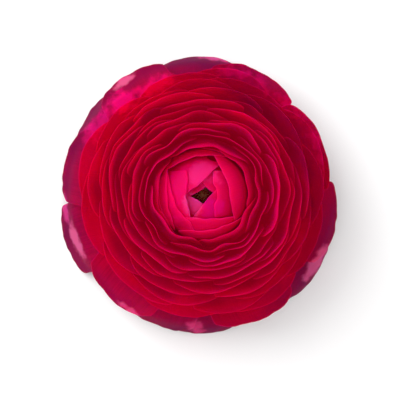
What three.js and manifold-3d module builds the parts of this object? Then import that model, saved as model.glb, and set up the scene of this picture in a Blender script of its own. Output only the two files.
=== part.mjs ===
// A double ranunculus flower head, cut just below its sepals and resting face up on its lowest petals.
// Millimetres, +Z up. The origin is under the middle of the flower, on the surface it rests on.

import * as THREE from 'three';
import { mergeVertices } from 'three/addons/utils/BufferGeometryUtils.js';
import Module from 'manifold-3d';

const wasm = await Module();
wasm.setup();

// ---------------------------------------------------------------- driving dimensions

// Side profiles of the petals, as [radius, height] from base to rim. The first belongs to the innermost
// petal, which closes over the middle, and the last to the outermost, which droops to the surface.
// They are evenly spaced in depth, from 0 to 1, and a petal at any depth between has its own profile.
const PETAL_PROFILES = [
  [[2.2, 16.8], [4.8, 19.6], [7.4, 25.0], [8.4, 31.3], [6.3, 37.2], [0.5, 39.6]],
  [[3.2, 15.4], [8.4, 18.2], [12.2, 24.4], [13.2, 31.6], [11.3, 38.8], [1.6, 43.2]],
  [[3.9, 14.2], [10.4, 16.0], [15.2, 22.2], [16.8, 29.6], [17.0, 37.0], [17.2, 43.6]],
  [[4.5, 13.0], [12.6, 13.4], [19.4, 17.8], [23.4, 24.8], [25.6, 32.0], [26.8, 38.8]],
  [[5.0, 11.6], [14.4, 10.3], [22.8, 12.2], [28.8, 17.2], [32.6, 22.2], [34.8, 26.4]],
  [[5.2, 9.6], [16.0, 6.0], [26.4, 5.4], [34.4, 5.9], [39.4, 3.2], [42.0, -1.4]],
];

// The closed bud in the middle, from its innermost petal outwards. The rim is its distance from the axis.
// Petals that don't lie on each other may have the same depth.
const BUD_PETALS = [
  { depth: 0.0, azimuth: 121, rim: 1.2, halfWidth: 7.0, slant: 0.0, straightness: 1.0, taper: 0.45 },
  { depth: 0.025, azimuth: 237, rim: 2.0, halfWidth: 7.0, slant: 0.0, straightness: 1.0, taper: 0.45 },
  { depth: 0.048, azimuth: 47, rim: 1.9, halfWidth: 7.5, slant: 0.0, straightness: 1.0, taper: 0.45 },
  { depth: 0.075, azimuth: 318, rim: 1.4, halfWidth: 10.0, slant: 0.0, straightness: 1.0, taper: 0.3 },
  { depth: 0.102, azimuth: 2, rim: 3.6, halfWidth: 8.5, slant: 0.0, straightness: 0.2, taper: 0.25 },
  { depth: 0.121, azimuth: 131, rim: 2.7, halfWidth: 11.0, slant: -0.01, straightness: 1.0, taper: 0.3 },
  { depth: 0.151, azimuth: 184, rim: 4.8, halfWidth: 10.0, slant: 0.0, straightness: 0.15, taper: 0.3 },
  { depth: 0.172, azimuth: 276, rim: 6.7, halfWidth: 11.5, slant: -0.03, straightness: 0.48, taper: 0.2 },
  { depth: 0.195, azimuth: 20, rim: 7.0, halfWidth: 12.5, slant: -0.02, straightness: 0.45, taper: 0.2 },
  { depth: 0.199, azimuth: 202, rim: 8.0, halfWidth: 12.0, slant: 0.02, straightness: 0.2, taper: 0.2 },
  { depth: 0.217, azimuth: 98, rim: 10.6, halfWidth: 12.7, slant: 0.02, straightness: 0.3, taper: 0.15 },
  { depth: 0.225, azimuth: 285, rim: 9.9, halfWidth: 12.5, slant: -0.02, straightness: 0.3, taper: 0.15 },
  { depth: 0.247, azimuth: 186, rim: 10.0, halfWidth: 11.2, slant: 0.0, straightness: 0.3, taper: 0.15 },
  { depth: 0.244, azimuth: 62, rim: 12.6, halfWidth: 13.0, slant: 0.0, straightness: 0.1, taper: 0.15 },
  { depth: 0.275, azimuth: 192, rim: 12.2, halfWidth: 12.5, slant: 0.0, straightness: 0.1, taper: 0.15 },
];
const BUD_SHAPE = { bow: 0, ruffle: 0, corner: 0.05, cornerPower: 4 };

// The open petals between the bud and the guard petals, set at the golden angle from each other.
const OPEN_PLACES = 72;
const OPEN_FIRST_DEPTH = 0.33;
const OPEN_LAST_DEPTH = 0.86;
const OPEN_CROWDING = 1.12; // above 1, the inner turns are closer together than the outer ones
const OPEN_FIRST_AZIMUTH = 35;
const GOLDEN_ANGLE = 137.508;
const OPEN_SOLIDS = 24; // the places that hold a solid here, spread evenly over all of them
const OPEN_TAPER = 0.03;
const OPEN_AZIMUTH_SCATTER = 9;
const OPEN_REACH = { mean: 0.985, scatter: 0.055 };
const OPEN_HALF_WIDTH = { first: 14.5, last: 13.5, scatter: 1.5 };
const OPEN_SLANT_SCATTER = 0.035;
const OPEN_BOW = { mean: 0.04, scatter: 0.012 };
const OPEN_RUFFLE = { first: 0.004, last: 0.007 };
// The rims of the inner ones are nearly straight with small rounded corners, and of the outer ones round.
const OPEN_STRAIGHTNESS = { first: 0.3, last: 0.1 };
const OPEN_CORNER = { first: 0.06, last: 0.13 };
const OPEN_CORNER_POWER = { first: 5, last: 2.4 };

// The guard petals: the lowest row, which gives the flower its outline, in the order they overlap. The last
// of them come down to the surface, and are as long as that takes.
const GUARD_PETALS = [
  { azimuth: 25, halfWidth: 16.0, reach: 1.01 },
  { azimuth: 294, halfWidth: 14.0, reach: 1.15 },
  { azimuth: 66, halfWidth: 14.5, reach: 1.08 },
  { azimuth: 229, halfWidth: 13.5, reach: 1.14 },
  { azimuth: 347, halfWidth: 14.0, reach: 1.04 },
  { azimuth: 123, halfWidth: 12.5, reach: 1.19 },
  { azimuth: 167, halfWidth: 12.5, reach: 1.17 },
  { azimuth: 249, halfWidth: 13.0, reach: 1.05 },
  { azimuth: 199, halfWidth: 12.0, touches: true },
  { azimuth: 148, halfWidth: 13.5, touches: true },
  { azimuth: 94, halfWidth: 14.5, touches: true },
  { azimuth: 268, halfWidth: 11.5, touches: true },
  { azimuth: 322, halfWidth: 14.5, touches: true },
];
const GUARD_FIRST_DEPTH = 0.875;
const GUARD_LAST_DEPTH = 1.0;
const GUARD_SHAPE = {
  bow: 0.02, ruffle: 0.006, taper: 0.04, straightness: 0.4, corner: 0.1, cornerPower: 4,
};
const GUARD_SLANT_SCATTER = 0.02;

const PETAL_THICKNESS = 0.2;
const CLAW_WIDTH = 0.09; // a petal's width at its base, as a share of its full width
const FULL_WIDTH_AT = 0.62; // where it reaches full width, as a share of its length
const TAPERS_FROM = 0.6; // where it narrows again, by the petal's own taper
const ROOT_SHARE = 0.5; // the lower part of every petal's length, which is alike on all of them
const WIDEST_WRAP = 78; // degrees that a petal can reach round the flower to each side
const RUFFLES = 9; // waves round the whole flower
const RUFFLE_TWIST = 25; // radians that the waves turn from the innermost depth to the outermost
const PETAL_CLEARANCE = 0.0245; // the least difference in depth between petals that lie on each other
const BUD_CELLS_ACROSS = 9; // the bud's petals lie closest, so theirs are finer
const CELLS_ACROSS = 6;
const CELLS_ALONG = 7;

const SEPAL_COUNT = 5;
const SEPAL_FIRST_AZIMUTH = 20;
const SEPAL_PROFILE = [[5.1, 8.1], [8.4, 6.6], [11.8, 4.8], [14.4, 2.8], [16.0, 0.7]];
const SEPAL_HALF_WIDTH = 4.2;
const SEPAL_THICKNESS = 0.5;
const SEPAL_CELLS_ACROSS = 4;
const SEPAL_CELLS_ALONG = 6;

// The stalk's outline, from the tip of the receptacle down to the cut.
const STALK_OUTLINE = [
  [0, 16.9], [1.6, 16.9], [1.75, 16.4], [2.65, 15.1], [3.35, 13.9], [3.95, 12.7],
  [4.45, 11.3], [4.65, 9.5], [4.6, 7.8], [3.6, 6.4], [2.8, 5.0], [2.6, 0.8], [0, 0.8],
];
const STALK_SIDES = 20;

const CARPEL_OUTLINE = [
  [0, 17.2], [0.9, 17.2], [1.1, 18.0], [2.2, 19.6], [2.9, 22.2],
  [3.0, 25.0], [2.5, 28.0], [1.4, 30.8], [0, 32.0],
];
const CARPEL_SIDES = 16;
const CARPEL_BUMP = { out: 0.18, in: -0.08, firstRing: 2 };

const STAMEN_COUNT = 14;
const STAMEN_PATH = [[1.75, 17.5], [3.3, 19.5], [4.4, 22.4], [5.1, 25.4]];
const FILAMENT_RADIUS = 0.22;
const ANTHER_SIZE = { radius: 0.42, length: 2.4 };
const STAMEN_RING = { inner: 1.3, outer: 2.0, bottom: 17.2, top: 17.8 };
const STAMEN_SCATTER = { turn: 0.06, rise: 0.1 };

// ---------------------------------------------------------------- materials

const finish = (color, roughness) => new THREE.MeshStandardMaterial({ color, roughness, metalness: 0 });
const budPetalFinish = () => finish(0xe0106a, 0.5);
const openPetalFinish = () => finish(0xb00030, 0.55);
const guardPetalFinish = () => finish(0xa00848, 0.5);
const greenFinish = () => finish(0x5f7a2e, 0.6);
const carpelFinish = () => finish(0x5a5a20, 0.65);
const stamenFinish = () => finish(0x2a1020, 0.75);

// ---------------------------------------------------------------- small helpers

const FULL_TURN = 2 * Math.PI;
const radians = THREE.MathUtils.degToRad;
const smooth = (x) => THREE.MathUtils.smoothstep(x, 0, 1);
const spread = (first, last, k, count) => first + (last - first) * k / (count - 1);

// A repeatable scatter between -1 and 1, so that no two petals are alike.
function scatter(k, salt) {
  const wave = Math.sin(k * 12.9898 + salt * 78.233) * 43758.5453;
  return 2 * (wave - Math.floor(wave)) - 1;
}

function signedTurn(angle) {
  return THREE.MathUtils.euclideanModulo(angle + Math.PI, FULL_TURN) - Math.PI;
}

function closedGeometry(positions, index) {
  const geometry = new THREE.BufferGeometry();
  geometry.setAttribute('position', new THREE.Float32BufferAttribute(positions, 3));
  geometry.setIndex(index);
  geometry.computeVertexNormals();
  return geometry;
}

// ---------------------------------------------------------------- petal shape

const vectors = (points) => points.map(([r, z]) => new THREE.Vector2(r, z));
const DEPTH_CURVES = PETAL_PROFILES[0].map(
  (_, j) => new THREE.SplineCurve(vectors(PETAL_PROFILES.map((profile) => profile[j]))),
);

function profileAt(depth) {
  const inside = THREE.MathUtils.clamp(depth, 0, 1);
  return new THREE.SplineCurve(DEPTH_CURVES.map((curve) => curve.getPoint(inside)));
}

function pointAt(profile, t) {
  if (t <= 1) return profile.getPoint(Math.max(t, 0));
  const last = profile.points.length - 1;
  const rim = profile.points[last];
  const run = rim.clone().sub(profile.points[last - 1]).multiplyScalar(last);
  return rim.clone().add(run.multiplyScalar(t - 1));
}

function profileLength(profile) {
  const STEPS = 60;
  let length = 0;
  for (let k = 0; k < STEPS; k += 1) {
    length += profile.getPoint(k / STEPS).distanceTo(profile.getPoint((k + 1) / STEPS));
  }
  return length;
}

const HALVINGS = 30;
function bisect(low, high, isBelow) {
  let from = low;
  let to = high;
  for (let k = 0; k < HALVINGS; k += 1) {
    const middle = (from + to) / 2;
    if (isBelow(middle)) from = middle;
    else to = middle;
  }
  return to;
}

// The share of the profile's length at which a bud petal's rim comes this near to the axis.
const WIDEST_SHARE = 0.6; // a bud petal's profile is widest here and closes in above
function reachForRim(depth, rim) {
  const profile = profileAt(depth);
  return bisect(WIDEST_SHARE, 1, (t) => profile.getPoint(t).x > rim);
}

function widthShare(petal, v) {
  const blade = CLAW_WIDTH + (1 - CLAW_WIDTH) * smooth(v / FULL_WIDTH_AT);
  return blade * (1 - petal.taper * smooth((v - TAPERS_FROM) / (1 - TAPERS_FROM)));
}

// A point of the petal's middle surface. u runs across from -1 to 1 and v from base to rim. The lower part
// of every petal has its rows at the same heights. The upper part runs on to the petal's own rim, which is
// straight across, as seen from above, with rounded corners.
const LEAST_RADIUS = 0.3;
const WRAP_LIMIT = radians(WIDEST_WRAP);
function petalPoint(petal, u, v) {
  const tip = Math.max(v - ROOT_SHARE, 0) / (1 - ROOT_SHARE);
  const along = Math.min(v, ROOT_SHARE) + tip * (petal.reach - ROOT_SHARE);
  const radiusThere = Math.max(pointAt(petal.profile, along).x, LEAST_RADIUS);
  const flatTurn = u * petal.halfWidth * widthShare(petal, v) / radiusThere;
  const turn = WRAP_LIMIT * Math.tanh(flatTurn / WRAP_LIMIT);
  const rimDistance = petal.rimRadius / petal.length + 1 - petal.reach;
  const straightening = petal.straightness * rimDistance * (1 / Math.cos(turn) - 1);
  const corner = petal.reach * (petal.corner * Math.abs(u) ** petal.cornerPower - petal.slant * u);
  const t = along - smooth(tip) * (straightening + corner);
  const azimuth = petal.azimuth + turn;
  const wave = petal.ruffle * smooth(tip) * Math.sin(RUFFLES * azimuth + RUFFLE_TWIST * petal.depth);
  const point = pointAt(profileAt(depthThere(petal, azimuth) + wave), Math.max(t, 0));
  return new THREE.Vector3(point.x * Math.cos(azimuth), point.x * Math.sin(azimuth), point.y);
}

// ---------------------------------------------------------------- petals laid on each other

// Round the flower each petal's depth is sampled, and each petal lies outside those laid before it.
const SAMPLES = 180;
const SAMPLE_AZIMUTHS = Array.from({ length: SAMPLES }, (_, k) => k * FULL_TURN / SAMPLES);
const COVER = 1.1; // how far past its own edge a petal pushes the next ones out, in half widths
const SKIRT = 0.0035; // how fast that push dies away, in depth for each sample
const SKIRT_SAMPLES = 8;
const SOFTENINGS = 4;
const WIDTH_MEASURED_AT = 0.72; // share of a petal's reach

function depthThere(petal, azimuth) {
  const place = THREE.MathUtils.euclideanModulo(azimuth, FULL_TURN) / FULL_TURN * SAMPLES;
  const before = Math.floor(place) % SAMPLES;
  const after = (before + 1) % SAMPLES;
  return THREE.MathUtils.lerp(petal.depths[before], petal.depths[after], place - Math.floor(place));
}

const softened = (values) => values.map((value, k) => {
  const before = values[(k + SAMPLES - 1) % SAMPLES];
  const after = values[(k + 1) % SAMPLES];
  return (before + 2 * value + after) / 4;
});

function layPetals(petals) {
  let laid = SAMPLE_AZIMUTHS.map(() => -1);
  for (const petal of petals) {
    const halfAngle = petal.halfWidth / pointAt(petal.profile, WIDTH_MEASURED_AT * petal.reach).x;
    const across = SAMPLE_AZIMUTHS.map((azimuth) => signedTurn(azimuth - petal.azimuth) / halfAngle);
    const outside = (depth, k) => (
      Math.abs(across[k]) <= COVER ? Math.max(depth, laid[k] + PETAL_CLEARANCE) : depth
    );
    let depths = across.map((x) => petal.depth - petal.bow * x * x);
    for (let pass = 0; pass < SOFTENINGS && petal.bow > 0; pass += 1) {
      depths = softened(softened(depths.map(outside)));
    }
    petal.depths = petal.bow > 0 ? depths.map(outside) : depths;
    laid = laid.map((depth, k) => (Math.abs(across[k]) <= COVER ? Math.max(depth, petal.depths[k]) : depth));
    for (let pass = 0; pass < SKIRT_SAMPLES; pass += 1) {
      laid = laid.map((depth, k) => {
        const beside = Math.max(laid[(k + SAMPLES - 1) % SAMPLES], laid[(k + 1) % SAMPLES]);
        return Math.max(depth, beside - SKIRT);
      });
    }
  }
}

function makePetal(name, depth, azimuth, sizes) {
  const profile = profileAt(depth);
  return {
    name,
    depth,
    azimuth: radians(azimuth),
    profile,
    length: profileLength(profile),
    rimRadius: profile.getPoint(1).x,
    ...sizes,
  };
}

function budPetals() {
  return BUD_PETALS.map(({ depth, azimuth, rim, ...sizes }, k) => (
    makePetal(`bud_petal_${k + 1}`, depth, azimuth, {
      reach: reachForRim(depth, rim),
      ...sizes,
      ...BUD_SHAPE,
      cellsAcross: BUD_CELLS_ACROSS,
      finish: budPetalFinish,
    })
  ));
}

function openPetals() {
  const petals = [];
  for (let k = 0; k < OPEN_PLACES; k += 1) {
    const share = k / (OPEN_PLACES - 1);
    const between = ({ first, last }) => first + (last - first) * share;
    const depth = OPEN_FIRST_DEPTH + (OPEN_LAST_DEPTH - OPEN_FIRST_DEPTH) * share ** OPEN_CROWDING;
    const azimuth = OPEN_FIRST_AZIMUTH + k * GOLDEN_ANGLE + OPEN_AZIMUTH_SCATTER * scatter(k, 1);
    petals.push(makePetal(`open_petal_${k + 1}`, depth, azimuth, {
      reach: OPEN_REACH.mean + OPEN_REACH.scatter * scatter(k, 2),
      halfWidth: between(OPEN_HALF_WIDTH) + OPEN_HALF_WIDTH.scatter * scatter(k, 3),
      slant: OPEN_SLANT_SCATTER * scatter(k, 4),
      bow: OPEN_BOW.mean + OPEN_BOW.scatter * scatter(k, 5),
      ruffle: between(OPEN_RUFFLE),
      straightness: between(OPEN_STRAIGHTNESS),
      corner: between(OPEN_CORNER),
      cornerPower: between(OPEN_CORNER_POWER),
      taper: OPEN_TAPER,
      finish: openPetalFinish,
      solid: Math.floor((k + 1) * OPEN_SOLIDS / OPEN_PLACES) > Math.floor(k * OPEN_SOLIDS / OPEN_PLACES),
    }));
  }
  return petals;
}

function guardPetals() {
  return GUARD_PETALS.map(({ azimuth, ...sizes }, k) => {
    const depth = spread(GUARD_FIRST_DEPTH, GUARD_LAST_DEPTH, k, GUARD_PETALS.length);
    return makePetal(`guard_petal_${k + 1}`, depth, azimuth, {
      reach: 1,
      slant: GUARD_SLANT_SCATTER * scatter(k, 10),
      ...sizes,
      ...GUARD_SHAPE,
      finish: guardPetalFinish,
    });
  });
}

// ---------------------------------------------------------------- leaf-like solids

// A thin closed solid round a grid of points: its two faces lie half the thickness to each side.
function sheetGeometry(pointAtUV, across, along, thickness) {
  const rows = along + 1;
  const columns = across + 1;
  const grid = [];
  for (let j = 0; j < rows; j += 1) {
    for (let i = 0; i < columns; i += 1) {
      grid.push(pointAtUV(-1 + 2 * i / across, j / along));
    }
  }
  const at = (i, j) => grid[j * columns + i];
  const positions = [];
  for (const side of [1, -1]) {
    for (let j = 0; j < rows; j += 1) {
      for (let i = 0; i < columns; i += 1) {
        const crossways = at(Math.min(i + 1, across), j).clone().sub(at(Math.max(i - 1, 0), j));
        const lengthways = at(i, Math.min(j + 1, along)).clone().sub(at(i, Math.max(j - 1, 0)));
        const normal = crossways.cross(lengthways).normalize();
        positions.push(...at(i, j).clone().addScaledVector(normal, side * thickness / 2));
      }
    }
  }
  const index = [];
  const quad = (a, b, c, d) => index.push(a, b, c, a, c, d);
  const back = rows * columns;
  for (let j = 0; j < along; j += 1) {
    for (let i = 0; i < across; i += 1) {
      const corner = j * columns + i;
      quad(corner, corner + 1, corner + columns + 1, corner + columns);
      quad(back + corner, back + corner + columns, back + corner + columns + 1, back + corner + 1);
    }
  }
  const outline = [];
  for (let i = 0; i < across; i += 1) outline.push(i);
  for (let j = 0; j < along; j += 1) outline.push(j * columns + across);
  for (let i = across; i > 0; i -= 1) outline.push(along * columns + i);
  for (let j = along; j > 0; j -= 1) outline.push(j * columns);
  outline.forEach((from, k) => {
    const to = outline[(k + 1) % outline.length];
    quad(from, back + from, back + to, to);
  });
  return closedGeometry(positions, index);
}

function lowestPoint(petal) {
  const geometry = petalGeometry(petal);
  geometry.computeBoundingBox();
  return geometry.boundingBox.min.z;
}

function petalGeometry(petal) {
  const across = petal.cellsAcross ?? CELLS_ACROSS;
  return sheetGeometry((u, v) => petalPoint(petal, u, v), across, CELLS_ALONG, PETAL_THICKNESS);
}

// A petal that touches the surface is as long as it takes for its lowest point to reach it.
const SHORTEST_REACH = 0.9;
const LONGEST_REACH = 1.3;
function settleOnSurface(petal) {
  petal.reach = bisect(SHORTEST_REACH, LONGEST_REACH, (reach) => lowestPoint({ ...petal, reach }) > 0);
}

// A sepal is broadest near the middle and comes to a blunt point.
const SEPAL_BASE_SHARE = 0.35;
const SEPAL_TIP_NARROWING = 0.45;
function sepalWidth(v) {
  const belly = Math.sin(Math.PI * Math.min(0.2 + 0.75 * v, 1));
  const narrowing = 1 - SEPAL_TIP_NARROWING * v ** 3;
  return SEPAL_HALF_WIDTH * (SEPAL_BASE_SHARE + (1 - SEPAL_BASE_SHARE) * belly) * narrowing;
}

const SEPAL_CORNER = 0.05;
function sepalGeometry(azimuth) {
  const profile = new THREE.SplineCurve(vectors(SEPAL_PROFILE));
  const pointAtUV = (u, v) => {
    const point = profile.getPoint(v * (1 - SEPAL_CORNER * u * u));
    const turn = azimuth + u * sepalWidth(v) / point.x;
    return new THREE.Vector3(point.x * Math.cos(turn), point.x * Math.sin(turn), point.y);
  };
  return sheetGeometry(pointAtUV, SEPAL_CELLS_ACROSS, SEPAL_CELLS_ALONG, SEPAL_THICKNESS);
}

// ---------------------------------------------------------------- turned pieces and stamens

// A solid turned about the flower's axis. Each outline starts and ends on the axis.
function turnedGeometry(outline, sides, swell = () => 0) {
  const positions = [0, 0, outline[0][1], 0, 0, outline[outline.length - 1][1]];
  const rings = outline.slice(1, -1);
  rings.forEach(([radius, height], j) => {
    for (let i = 0; i < sides; i += 1) {
      const angle = i * FULL_TURN / sides;
      const size = radius + swell(i, j);
      positions.push(size * Math.cos(angle), size * Math.sin(angle), height);
    }
  });
  const at = (i, j) => 2 + j * sides + i % sides;
  const index = [];
  for (let i = 0; i < sides; i += 1) {
    index.push(0, at(i + 1, 0), at(i, 0));
    for (let j = 0; j + 1 < rings.length; j += 1) {
      index.push(at(i, j), at(i + 1, j), at(i + 1, j + 1), at(i, j), at(i + 1, j + 1), at(i, j + 1));
    }
    index.push(1, at(i, rings.length - 1), at(i + 1, rings.length - 1));
  }
  const startsHigh = outline[0][1] > outline[outline.length - 1][1];
  if (startsHigh) index.reverse();
  return closedGeometry(positions, index);
}

function solidFrom(geometry) {
  const bare = geometry.clone();
  bare.deleteAttribute('normal');
  bare.deleteAttribute('uv');
  const merged = mergeVertices(bare, 1e-4);
  const mesh = new wasm.Mesh({
    numProp: 3,
    vertProperties: new Float32Array(merged.attributes.position.array),
    triVerts: new Uint32Array(merged.index.array),
  });
  return new wasm.Manifold(mesh);
}

function stamensGeometry() {
  const { inner, outer, bottom, top } = STAMEN_RING;
  const corners = [[inner, bottom], [outer, bottom], [outer, top], [inner, top], [inner, bottom]];
  const ringOutline = vectors(corners);
  const ring = new THREE.LatheGeometry(ringOutline, STALK_SIDES).rotateX(Math.PI / 2);
  let joined = solidFrom(ring);
  for (let k = 0; k < STAMEN_COUNT; k += 1) {
    const turn = k * FULL_TURN / STAMEN_COUNT + STAMEN_SCATTER.turn * scatter(k, 20);
    const rise = 1 - STAMEN_SCATTER.rise + STAMEN_SCATTER.rise * scatter(k, 21);
    const base = STAMEN_PATH[0];
    const path = new THREE.CatmullRomCurve3(STAMEN_PATH.map(([radius, height]) => {
      const away = base[0] + (radius - base[0]) * rise;
      const up = base[1] + (height - base[1]) * rise;
      return new THREE.Vector3(away * Math.cos(turn), away * Math.sin(turn), up);
    }));
    const section = new THREE.Shape().absarc(0, 0, FILAMENT_RADIUS, 0, FULL_TURN);
    const filament = new THREE.ExtrudeGeometry(section, {
      steps: 3, curveSegments: 3, bevelEnabled: false, extrudePath: path,
    });
    const anther = new THREE.SphereGeometry(1, 6, 4).scale(
      ANTHER_SIZE.radius, ANTHER_SIZE.length / 2, ANTHER_SIZE.radius,
    );
    const lean = new THREE.Quaternion().setFromUnitVectors(new THREE.Vector3(0, 1, 0), path.getTangent(1));
    anther.applyQuaternion(lean);
    const end = path.getPoint(1);
    anther.translate(end.x, end.y, end.z);
    joined = joined.add(solidFrom(filament)).add(solidFrom(anther));
  }
  const mesh = joined.getMesh();
  return closedGeometry(Array.from(mesh.vertProperties), Array.from(mesh.triVerts));
}

// ---------------------------------------------------------------- the flower

const flower = new THREE.Group();

function addPiece(name, geometry, material) {
  const mesh = new THREE.Mesh(geometry, material);
  mesh.name = name;
  flower.add(mesh);
}

const petals = [...budPetals(), ...openPetals(), ...guardPetals()];
layPetals(petals);
petals.filter((petal) => petal.touches).forEach(settleOnSurface);
petals.filter((petal) => petal.solid !== false).forEach((petal) => {
  addPiece(petal.name, petalGeometry(petal), petal.finish());
});

for (let k = 0; k < SEPAL_COUNT; k += 1) {
  const azimuth = radians(SEPAL_FIRST_AZIMUTH) + k * FULL_TURN / SEPAL_COUNT;
  addPiece(`sepal_${k + 1}`, sepalGeometry(azimuth), greenFinish());
}

addPiece('stalk', turnedGeometry(STALK_OUTLINE, STALK_SIDES), greenFinish());

function carpelBumps(i, ring) {
  if (ring < CARPEL_BUMP.firstRing) return 0;
  return (i + ring) % 2 === 0 ? CARPEL_BUMP.out : CARPEL_BUMP.in;
}
addPiece('carpels', turnedGeometry(CARPEL_OUTLINE, CARPEL_SIDES, carpelBumps), carpelFinish());

addPiece('stamens', stamensGeometry(), stamenFinish());

const box = new THREE.Box3().setFromObject(flower);
const middle = box.getCenter(new THREE.Vector3());
flower.position.set(-middle.x, -middle.y, -box.min.z);

export default flower;
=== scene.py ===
import math

import bpy
import numpy as np
from mathutils import Matrix, Vector


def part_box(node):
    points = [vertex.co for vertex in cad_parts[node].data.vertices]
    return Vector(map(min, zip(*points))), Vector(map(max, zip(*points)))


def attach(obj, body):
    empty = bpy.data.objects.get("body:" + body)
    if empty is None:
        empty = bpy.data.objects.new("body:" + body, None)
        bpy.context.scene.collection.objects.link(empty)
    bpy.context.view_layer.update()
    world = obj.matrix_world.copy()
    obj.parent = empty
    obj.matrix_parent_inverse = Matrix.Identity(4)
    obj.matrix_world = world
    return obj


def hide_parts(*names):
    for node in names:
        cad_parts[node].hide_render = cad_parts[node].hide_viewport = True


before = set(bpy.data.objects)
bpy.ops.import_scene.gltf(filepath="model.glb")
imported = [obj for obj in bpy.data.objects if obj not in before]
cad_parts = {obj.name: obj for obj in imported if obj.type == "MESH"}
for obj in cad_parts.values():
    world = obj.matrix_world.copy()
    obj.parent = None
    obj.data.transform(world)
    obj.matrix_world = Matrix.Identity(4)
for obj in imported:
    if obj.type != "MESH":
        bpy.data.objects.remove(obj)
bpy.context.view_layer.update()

# ------------------------------------------------------------------ the bud
# The closed middle of the flower: fifteen young petals, thin and satin smooth, wrapped over each other so
# that only a small four-sided eye stays open. Each grows from the receptacle by a narrow claw, and shows
# its hot pink outer face.

MM = 0.001
FULL_TURN = 2 * math.pi

# Side profiles of the petals as (radius, height) in millimetres, from base to rim, evenly spaced in depth:
# the first belongs to the innermost petal and the last to the outermost.
PETAL_PROFILES = np.array([
    [(2.2, 16.8), (4.8, 19.6), (7.4, 25.0), (8.4, 31.3), (6.3, 37.2), (0.5, 39.6)],
    [(3.2, 15.4), (8.4, 18.2), (12.2, 24.4), (13.2, 31.6), (11.3, 38.8), (1.6, 43.2)],
    [(3.9, 14.2), (10.4, 16.0), (15.2, 22.2), (16.8, 29.6), (17.0, 37.0), (17.2, 43.6)],
    [(4.5, 13.0), (12.6, 13.4), (19.4, 17.8), (23.4, 24.8), (25.6, 32.0), (26.8, 38.8)],
    [(5.0, 11.6), (14.4, 10.3), (22.8, 12.2), (28.8, 17.2), (32.6, 22.2), (34.8, 26.4)],
    [(5.2, 9.6), (16.0, 6.0), (26.4, 5.4), (34.4, 5.9), (39.4, 3.2), (42.0, -1.4)],
])

# The flower's axis is that of its stalk.
stalk_low, stalk_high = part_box("stalk")
AXIS = np.array([(stalk_low[0] + stalk_high[0]) / 2, (stalk_low[1] + stalk_high[1]) / 2, 0.0])


def smooth(x):
    x = np.clip(x, 0.0, 1.0)
    return x * x * (3 - 2 * x)


def scatter(k, salt):
    """A repeatable number between -1 and 1, so that no two petals are alike."""
    wave = math.sin(k * 12.9898 + salt * 78.233) * 43758.5453
    return 2 * (wave - math.floor(wave)) - 1


def spread(first, last, k, count):
    return first + (last - first) * k / (count - 1)


def curve_through(rows, share):
    """The point at each share, from 0 to 1, of the smooth curve through the rows."""
    last = len(rows) - 1
    spot = np.clip(share, 0, 1) * last
    cell = np.minimum(np.floor(spot).astype(int), last - 1)
    w = (spot - cell).reshape(spot.shape + (1,) * (rows.ndim - 1))
    before, start = rows[np.maximum(cell - 1, 0)], rows[cell]
    end, after = rows[cell + 1], rows[np.minimum(cell + 2, last)]
    rise, fall = (end - before) / 2, (after - start) / 2
    cubic = 2 * start - 2 * end + rise + fall
    square = -3 * start + 3 * end - 2 * rise - fall
    return ((cubic * w + square) * w + rise) * w + start


def profile_points(depths, shares):
    """Radius and height at a share of the length of the profile at each depth, both flat arrays."""
    profiles = curve_through(PETAL_PROFILES, depths)
    last = profiles.shape[1] - 1
    inside = np.clip(shares, 0, 1)
    cell = np.minimum(np.floor(inside * last).astype(int), last - 1)
    w = (inside * last - cell)[:, None]
    each = np.arange(len(depths))
    before, start = profiles[each, np.maximum(cell - 1, 0)], profiles[each, cell]
    end, after = profiles[each, cell + 1], profiles[each, np.minimum(cell + 2, last)]
    rise, fall = (end - before) / 2, (after - start) / 2
    cubic = 2 * start - 2 * end + rise + fall
    square = -3 * start + 3 * end - 2 * rise - fall
    points = ((cubic * w + square) * w + rise) * w + start
    past_rim = (np.maximum(shares, 0) - inside)[:, None]
    return points + past_rim * (profiles[:, last] - profiles[:, last - 1]) * last


def radius_at(depth, share):
    return profile_points(np.array([depth]), np.array([share]))[0, 0]


def make_petal(name, depth, azimuth, **sizes):
    outline = profile_points(np.full(61, depth), np.linspace(0, 1, 61))
    length = np.linalg.norm(np.diff(outline, axis=0), axis=1).sum()
    petal = dict(name=name, depth=depth, azimuth=math.radians(azimuth), length=length,
                 rim_radius=outline[-1, 0], bow=0.0, ruffle=0.0, frill=0.0)
    petal.update(sizes)
    return petal


# Petals are laid from the innermost outwards. The depth of each is sampled round the flower.
SAMPLES = 180
SAMPLE_AZIMUTHS = np.arange(SAMPLES) * FULL_TURN / SAMPLES
CLEARANCE = 0.0245  # in depth, between a petal and those laid before it
COVER = 1.1  # how far round a petal keeps others off, against its half width
SKIRT = 0.0035  # how fast that falls off past its sides
FULL_WIDTH_SHARE = 0.72  # of a petal's length, where its width is measured
laid = np.full(SAMPLES, -1.0)


def softened(values):
    return (np.roll(values, 1) + 2 * values + np.roll(values, -1)) / 4


def lay_petal(petal):
    """Work out the petal's depth round the flower. A bowed petal is pushed outside all those laid so far.
    A bud petal has no bow, and keeps its own depth."""
    global laid
    half_angle = petal["half_width"] / radius_at(petal["depth"], FULL_WIDTH_SHARE * petal["reach"])
    turn = (SAMPLE_AZIMUTHS - petal["azimuth"] + math.pi) % FULL_TURN - math.pi
    across = turn / half_angle
    covered = np.abs(across) <= COVER
    depths = petal["depth"] - petal["bow"] * across ** 2
    if petal["bow"] > 0:
        for _ in range(4):
            depths = softened(softened(np.where(covered, np.maximum(depths, laid + CLEARANCE), depths)))
        depths = np.where(covered, np.maximum(depths, laid + CLEARANCE), depths)
    petal["depths"] = depths
    laid = np.where(covered, np.maximum(laid, depths), laid)
    for _ in range(8):
        laid = np.maximum(laid, np.maximum(np.roll(laid, 1), np.roll(laid, -1)) - SKIRT)


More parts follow.
